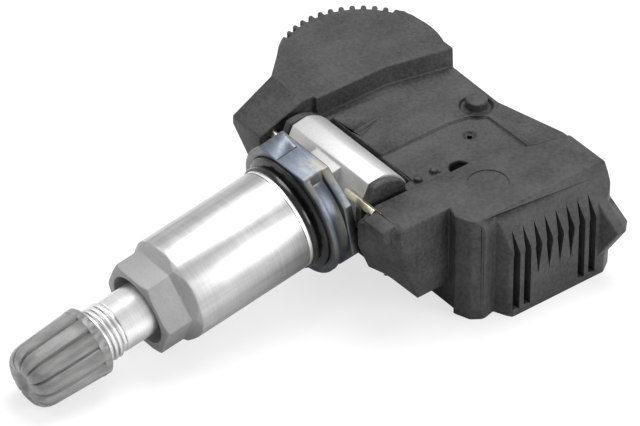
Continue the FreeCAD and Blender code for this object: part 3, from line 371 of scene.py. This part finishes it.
membrane = dull("filter_membrane", (0.70, 0.70, 0.68), (0.86, 0.86, 0.84), 0.7, 8.0)
ceramic = dull("capacitor_ceramic", (0.33, 0.22, 0.13), (0.48, 0.34, 0.21), 0.45)

FINISHES = {
    "valve_stem": aluminium, "collar": zinc, "grommet": black_rubber, "slip_washer": tinned,
    "union_nut": nut_aluminium, "dust_cap": cap_grey, "cap_seal": black_rubber, "core_body": brass,
    "core_seal": black_rubber, "core_pin": brass, "core_cup": brass, "core_spring": spring_steel,
    "housing": housing_plastic, "base_cover": lid_plastic, "spring_clip_left": gold_strip,
    "spring_clip_right": gold_strip, "circuit_board": board_green, "coin_cell": cell_steel,
    "cell_tab_lower": tinned, "cell_tab_upper": tinned, "pressure_chip": chip_black,
    "port_seal": silicone, "port_filter": membrane, "coil_core": ferrite, "coil_winding": copper,
    "crystal": cell_steel, "capacitor_1": ceramic, "capacitor_2": ceramic, "aerial": tinned,
}
for label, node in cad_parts.items():
    node.data.materials.clear()
    node.data.materials.append(FINISHES[label])
print(len(FINISHES), "solids have a finish")

# %% [markdown]
# ## Modelling by hand
# The solids have razor edges, and real ones don't: a moulded edge is round, a milled one is
# broken with a file. For the pieces in view, a copy of the solid is cleaned, given the details
# that the solid lacks and bevelled. The helpers below repeat what a hand does with the mouse:
# select one piece alone, cut one shape out of another, round the edges that are sharper than an
# angle, and hand the finished piece over to the body that it moves with.

# %% Helpers for modelling
def only(piece):
    """Select one piece alone and make it active."""
    bpy.ops.object.select_all(action="DESELECT")
    piece.select_set(True)
    bpy.context.view_layer.objects.active = piece


def edit(piece, action="SELECT"):
    """Open one piece for editing, with everything or nothing in it selected."""
    only(piece)
    bpy.ops.object.mode_set(mode="EDIT")
    bpy.ops.mesh.select_all(action=action)


def close():
    bpy.ops.object.mode_set(mode="OBJECT")


def copied(label):
    """A solid's mesh as a new piece, with its corners joined and its flat faces whole."""
    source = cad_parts[label]
    piece = bpy.data.objects.new(label + "_model", source.data.copy())
    bpy.context.collection.objects.link(piece)
    piece.data.transform(source.matrix_world)
    edit(piece)
    bpy.ops.mesh.remove_doubles(threshold=0.003 * MM)
    bpy.ops.mesh.dissolve_limited(angle_limit=math.radians(0.6))
    close()
    return piece


def rounded(piece, width, segments=2, angle=30):
    """Round every edge sharper than the angle."""
    bevel = piece.modifiers.new("rounding", "BEVEL")
    bevel.width, bevel.segments = width * MM, segments
    bevel.limit_method, bevel.angle_limit = "ANGLE", math.radians(angle)
    bevel.use_clamp_overlap = False
    only(piece)
    bpy.ops.object.modifier_apply(modifier="rounding")


def combine(piece, tool, operation="DIFFERENCE"):
    """Cut a tool out of a piece, or join it on."""
    boolean = piece.modifiers.new("boolean", "BOOLEAN")
    boolean.object, boolean.operation, boolean.solver = tool, operation, "EXACT"
    only(piece)
    bpy.ops.object.modifier_apply(modifier="boolean")
    bpy.data.objects.remove(tool)


def hand_over(piece, body, material, label=None, sharp=32):
    """Shade a piece, give it its finish and let it move with its body."""
    only(piece)
    bpy.ops.object.shade_smooth_by_angle(angle=math.radians(sharp))
    piece.data.materials.clear()
    piece.data.materials.append(material)
    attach(piece, body)
    if label:
        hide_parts(label)
    print(piece.name, "has", len(piece.data.polygons), "faces")


def lay_on_valve(piece):
    """Lay a piece that was made upright, in millimetres, along the valve's axis."""
    piece.matrix_world = VALVE @ piece.matrix_world
    only(piece)
    bpy.ops.object.transform_apply()


# %% [markdown]
# ## The housing
# The mould leaves more marks than the solid shows. The gate where the plastic came in is a round
# dimple with a pit, the raised button sits in a shallow moat, two pegs stand by the cradle, and
# a small arrow is sunk into the field beside the valve. Each is a primitive that is cut out or
# joined on. The heights below are those of the top, the sunk field and the pocket, in millimetres.

# %% Housing details
TOP, FIELD, POCKET = 16.6, 16.25, 15.8
GATE = (5.4, 18.3)
ARROW = Vector((-3.9, 7.2, FIELD)) * MM


def disc(x, y, low, high, radius, vertices=48, narrow=1.0):
    """An upright cylinder, or cone if narrow isn't 1, in millimetres."""
    bpy.ops.object.select_all(action="DESELECT")
    bpy.ops.mesh.primitive_cone_add(vertices=vertices, radius1=radius * narrow * MM, radius2=radius * MM,
                                    depth=(high - low) * MM, location=(x * MM, y * MM, (low + high) / 2 * MM))
    bpy.ops.object.transform_apply()
    return bpy.context.object


def bar(start, end, low, high, width):
    """An upright wall between two points in plan, in millimetres."""
    length = math.dist(start, end)
    bpy.ops.object.select_all(action="DESELECT")
    bpy.ops.mesh.primitive_cube_add(size=1)
    wall = bpy.context.object
    wall.scale = (length * MM, width * MM, (high - low) * MM)
    wall.rotation_euler.z = math.atan2(end[1] - start[1], end[0] - start[0])
    wall.location = [(a + b) / 2 * MM for a, b in zip(start + (low,), end + (high,))]
    bpy.ops.object.transform_apply()
    return wall


housing = copied("housing")
combine(housing, disc(1.2, 22.8, POCKET, TOP + 2, 2.5, narrow=0.9))
combine(housing, disc(0.9, 23.1, POCKET - 0.3, TOP + 0.5, 1.55), "UNION")
combine(housing, disc(*GATE, POCKET - 0.45, POCKET + 0.5, 1.3, narrow=0.5))
combine(housing, disc(*GATE, POCKET - 0.8, POCKET, 0.35, 16))
for x, y in ((9.0, 9.2), (9.2, 6.3)):
    combine(housing, disc(x, y, POCKET - 0.3, POCKET + 0.65, 0.6, 24), "UNION")
arrow = disc(-3.9, 7.2, FIELD - 0.5, FIELD + 1, 1.0, 3)
edit(arrow)
bpy.ops.transform.resize(value=(0.75, 2.6, 1), center_override=ARROW)
bpy.ops.transform.rotate(value=-0.25, orient_axis="Z", center_override=ARROW)
close()
combine(housing, arrow)

# %% [markdown]
# ### The right ear
# The spring clip dips into the right ear and ends out of sight. A tilted block builds the ear
# up over it, with room for the clip, and a plug closes the slot behind. The block that marks
# where the clip goes out of sight is used again later, to trim the clip itself.

# %% The ear over its clip
CLIP_GAP = 0.04
EAR_TILT = -0.22


def past_clip_end():
    """A block over everything on the far side of the place where the clip goes out of sight."""
    return bar((16.6, -8.0), (16.6, 2.0), 10.0, 20.0, 8.0)


clip_room = copied("spring_clip_right")
edit(clip_room)
bpy.ops.transform.shrink_fatten(value=CLIP_GAP * MM)
close()
ear_top = bar((12.1, -4.1), (16.3, -4.1), 14.6, TOP + 0.35, 2.3)
edit(ear_top)
bpy.ops.transform.rotate(value=EAR_TILT, orient_axis="X", center_override=(14 * MM, -3 * MM, TOP * MM))
close()
combine(clip_room, past_clip_end())
combine(ear_top, clip_room)
combine(housing, ear_top, "UNION")
combine(housing, bar((12.7, -2.3), (15.2, -2.3), 14.6, TOP - 0.02, 1.5), "UNION")

# %% [markdown]
# ### The far corner
# The end wall bulges at half height. The corner points there are pulled a little further out,
# because the outline in the photograph reaches further than the solid's.

# %% Far corner
CORNER_PULL = 0.9
edit(housing, "DESELECT")
close()
for vertex in housing.data.vertices:
    x, y, z = vertex.co / MM
    vertex.select = 7.5 < z < 9.5 and (x > 24.8 or y > 28.7)
bpy.ops.object.mode_set(mode="EDIT")
bpy.ops.transform.translate(value=(CORNER_PULL * MM, 0, 0))
close()
print("The housing has", len(housing.data.polygons), "faces before rounding")

# %% [markdown]
# ### Edges
# One narrow bevel rounds every sharp edge except those in the vent slots and the lobe's notches,
# which are too close together for it. It throws one corner point below the underside, and that
# point is pressed back onto it. The shallow round field is cut last, because a bevel made after
# it cracks the top face.

# %% Housing edges
LOBE_CENTRE, NOTCH_RADIUS = (-14, 15), 10.9
EDGE_WIDTH = 0.25


def weigh(piece, chosen, weight):
    """Add a bevel weight to the sharp edges of a piece for which chosen is true."""
    edit(piece, "DESELECT")
    bpy.ops.mesh.select_mode(type="EDGE")
    bpy.ops.mesh.edges_select_sharp(sharpness=math.radians(28))
    close()
    for edge in piece.data.edges:
        edge.select = edge.select and chosen(edge)
    print("Weighing", sum(edge.select for edge in piece.data.edges), "edges")
    bpy.ops.object.mode_set(mode="EDIT")
    bpy.ops.transform.edge_bevelweight(value=weight)
    bpy.ops.mesh.select_mode(type="VERT")
    close()


def away_from_slots(edge):
    """True for edges that are neither in the vent wall's slots nor in the lobe's notches."""
    ends = [housing.data.vertices[index].co / MM for index in edge.vertices]
    in_slot = all(end.x > 21.2 and 10.4 < end.y < 25.1 and end.z < 14.4 for end in ends)
    in_rim = all(math.dist(end.xy, LOBE_CENTRE) > NOTCH_RADIUS and end.x < -16 and end.y > 4 and end.z > 17
                 for end in ends)
    return not in_slot and not in_rim


weigh(housing, away_from_slots, 1)
bevel = housing.modifiers.new("rounding", "BEVEL")
bevel.width, bevel.segments, bevel.limit_method = EDGE_WIDTH * MM, 3, "WEIGHT"
bevel.use_clamp_overlap = False
only(housing)
bpy.ops.object.modifier_apply(modifier="rounding")
edit(housing, "DESELECT")
close()
for vertex in housing.data.vertices:
    vertex.select = vertex.co.z < -0.001 * MM
bpy.ops.object.mode_set(mode="EDIT")
bpy.ops.transform.resize(value=(1, 1, 0), center_override=(0, 0, 0))
close()
combine(housing, disc(16.1, 12.9, TOP - 0.12, TOP + 1, 2.9))
hand_over(housing, "housing_body", housing_plastic, "housing")

# %% [markdown]
# ## Turned and stamped pieces
# The stem, the nut, the collar and its rubber only need broken edges. The collar also has a
# slit along its flat, where the strip that it was rolled from meets.

# %% Pieces with broken edges
collar = copied("collar")
bpy.ops.object.select_all(action="DESELECT")
bpy.ops.mesh.primitive_cube_add(size=1)
slit = bpy.context.object
slit.scale, slit.location = (0.2, 0.6, 3.4), (-1.07, 8.8, 6.5)
bpy.ops.object.transform_apply()
lay_on_valve(slit)
rounded(collar, 0.2)
combine(collar, slit)
hand_over(collar, "valve", zinc, "collar")

for label, width, body, slot, material in (
        ("valve_stem", 0.15, "valve", "aluminium", aluminium),
        ("union_nut", 0.12, "nut", "aluminium", nut_aluminium),
        ("grommet", 0.2, "valve", "seal_rubber", black_rubber),
        ("spring_clip_left", 0.06, "housing_body", "spring_strip", gold_strip),
        ("spring_clip_right", 0.06, "housing_body", "spring_strip", gold_strip)):
    piece = copied(label)
    if label == "spring_clip_right":
        combine(piece, past_clip_end())
    rounded(piece, width)
    hand_over(piece, body, material, label)

# %% [markdown]
# ## The valve core's spring
# It stands on its seat and shortens as the pin goes in. Here a copy of it is only shaded smooth, given its
# finish and left where it is.

# %% Core spring
spring = copied("core_spring")
only(spring)
bpy.ops.object.shade_smooth_by_angle(angle=math.radians(40))
spring.data.materials.clear()
spring.data.materials.append(spring_steel)
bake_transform(spring)
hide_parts("core_spring")

# %% [markdown]
# ## The stem's thread
# A thread is one tooth that is carried round and up. A small eight-sided ring, squashed to the
# tooth's shape, is swept by a Screw modifier: each turn lifts it by the pitch.

# %% Thread
PITCH = 0.794
THREAD_TURNS = 14
bpy.ops.object.select_all(action="DESELECT")
bpy.ops.mesh.primitive_circle_add(vertices=8, radius=1)
thread = bpy.context.object
thread.name = "cap_thread"
edit(thread)
bpy.ops.transform.rotate(value=math.pi / 2, orient_axis="X", center_override=(0, 0, 0))
bpy.ops.transform.resize(value=(0.42, 1, 0.36), center_override=(0, 0, 0))
bpy.ops.transform.translate(value=(3.6, 0, 39.1))
close()
screw = thread.modifiers.new("thread", "SCREW")
screw.axis, screw.angle, screw.screw_offset = "Z", 2 * math.pi, PITCH
screw.iterations, screw.steps, screw.render_steps = THREAD_TURNS, 36, 36
screw.use_merge_vertices = False
only(thread)
bpy.ops.object.modifier_apply(modifier="thread")
edit(thread)
bpy.ops.mesh.normals_make_consistent(inside=False)
close()
lay_on_valve(thread)
hand_over(thread, "valve", aluminium, sharp=60)

# %% [markdown]
# ## The dust cap
# One ring is drawn at the inner floor and extruded again and again: down the bore, round the
# mouth, up the outside and over the rounded end into its dimple. Every eighth corner of the
# outer rings is then pulled inwards, which folds twelve grooves into the wall, and deeper ones
# into the rounded end, where they part it into lobes.

# %% Dust cap
RIBS = 12
CORNERS = 8 * RIBS
CAP_RINGS = [
    (51.6, 4.1, 1), (42.1, 4.1, 1), (42.1, 4.8, 1), (42.3, 5.0, 1), (42.4, 5.02, 0.972),
    (43.2, 5.02, 0.972), (43.3, 5.0, 1), (43.4, 4.94, 0.935), (45.0, 4.88, 0.93), (48.0, 4.74, 0.925),
    (50.9, 4.6, 0.92), (51.8, 4.46, 0.905), (52.5, 4.12, 0.87), (53.0, 3.6, 0.83), (53.25, 3.05, 0.80),
    (53.33, 2.5, 0.82), (53.3, 2.0, 0.9), (53.15, 1.55, 1), (52.85, 1.3, 1), (52.7, 0.9, 1)]
bpy.ops.object.select_all(action="DESELECT")
bpy.ops.mesh.primitive_circle_add(vertices=CORNERS, radius=CAP_RINGS[0][1], location=(0, 0, 0))
cap = bpy.context.object
cap.name = "dust_cap_model"
edit(cap)
bpy.ops.transform.translate(value=(0, 0, CAP_RINGS[0][0]))
for (z, radius, _), (next_z, next_radius, _) in zip(CAP_RINGS, CAP_RINGS[1:]):
    bpy.ops.mesh.extrude_region_move(TRANSFORM_OT_translate={"value": (0, 0, next_z - z)})
    scale = next_radius / radius
    bpy.ops.transform.resize(value=(scale, scale, 1), center_override=(0, 0, next_z))
bpy.ops.mesh.edge_face_add()
close()
for ring, (z, radius, pull) in enumerate(CAP_RINGS):
    if pull == 1:
        continue
    edit(cap, "DESELECT")
    close()
    step = 4 if z < 43.25 else 8
    for index in range(0, CORNERS, step):
        cap.data.vertices[ring * CORNERS + index].select = True
    bpy.ops.object.mode_set(mode="EDIT")
    bpy.ops.transform.resize(value=(pull, pull, 1), center_override=(0, 0, z))
    close()
edit(cap, "DESELECT")
close()
for vertex in cap.data.vertices[:CORNERS]:
    vertex.select = True
bpy.ops.object.mode_set(mode="EDIT")
bpy.ops.mesh.edge_face_add()
bpy.ops.mesh.select_all(action="SELECT")
bpy.ops.mesh.normals_make_consistent(inside=False)
close()
lay_on_valve(cap)
hand_over(cap, "cap", cap_grey, "dust_cap", sharp=40)

# %% [markdown]
# ## Floor and light
# The floor is plain and pale, and the world behind it is white to the camera and to mirrors,
# but gives less light than it shows. Three large soft lamps do the rest: one from above and
# behind, which puts the long highlight on the sleeve, and a weaker one from each side.

# %% Floor
def white_to_camera(tree, dim):
    """Full strength for what the camera and mirrors see, and dim for what lights the object."""
    path = Shade(tree).node("ShaderNodeLightPath")
    rays = path.socket.node.outputs
    seen = Shade(tree, rays["Is Camera Ray"]).math("MAXIMUM", Shade(tree, rays["Is Glossy Ray"]))
    seen = seen.math("MAXIMUM", Shade(tree, rays["Is Transmission Ray"]))
    return seen * (1 - dim) + dim


FLOOR_HALF = 2.0
bpy.ops.object.select_all(action="DESELECT")
bpy.ops.mesh.primitive_plane_add(size=2 * FLOOR_HALF, location=(0, 0, cad_low.z))
floor = bpy.context.object
floor.name = "floor"
material, shader, position = start("floor_paper")
fibre = position.noise(0.8, 2.0)
fill(shader, Base_Color=fibre.mix((0.88, 0.88, 0.88), (0.92, 0.92, 0.92)), Roughness=0.9)
tree = material.node_tree
glow = Shade(tree).node("ShaderNodeEmission", {}, {"Color": (1, 1, 1, 1), "Strength": 1.0})
seen = Shade(tree).node("ShaderNodeLightPath").socket.node.outputs["Is Camera Ray"]
mixed = Shade(tree).node("ShaderNodeMixShader", {}, {
    0: Shade(tree, seen) * 0.7, 1: Shade(tree, shader.outputs[0]), 2: glow})
tree.links.new(mixed.socket, tree.nodes["Material Output"].inputs["Surface"])
floor.data.materials.append(material)

# %% World and lamps
WORLD_DIM = 0.5
world = bpy.data.worlds.new("studio")
bpy.context.scene.world = world
world.use_nodes = True
backdrop = world.node_tree.nodes["Background"]
backdrop.inputs["Color"].default_value = (1, 1, 1, 1)
strength = white_to_camera(world.node_tree, WORLD_DIM)
world.node_tree.links.new(strength.socket, backdrop.inputs["Strength"])


def lamp(name, position, size, power):
    """A square soft lamp that faces the middle of the object."""
    light = bpy.data.lights.new(name, "AREA")
    light.size, light.energy = size, power
    lit = bpy.data.objects.new(name, light)
    bpy.context.collection.objects.link(lit)
    lit.location = position
    middle = (cad_low + cad_high) / 2
    lit.rotation_euler = (middle - lit.location).to_track_quat("-Z", "Y").to_euler()


lamp("top_lamp", (-0.15, 0.25, 0.75), 0.5, 7.0)
lamp("side_lamp", (-0.6, -0.5, 0.45), 0.4, 2.0)
lamp("right_lamp", (0.65, 0.35, 0.30), 0.35, 4.0)
bpy.context.scene.view_settings.view_transform = "Standard"
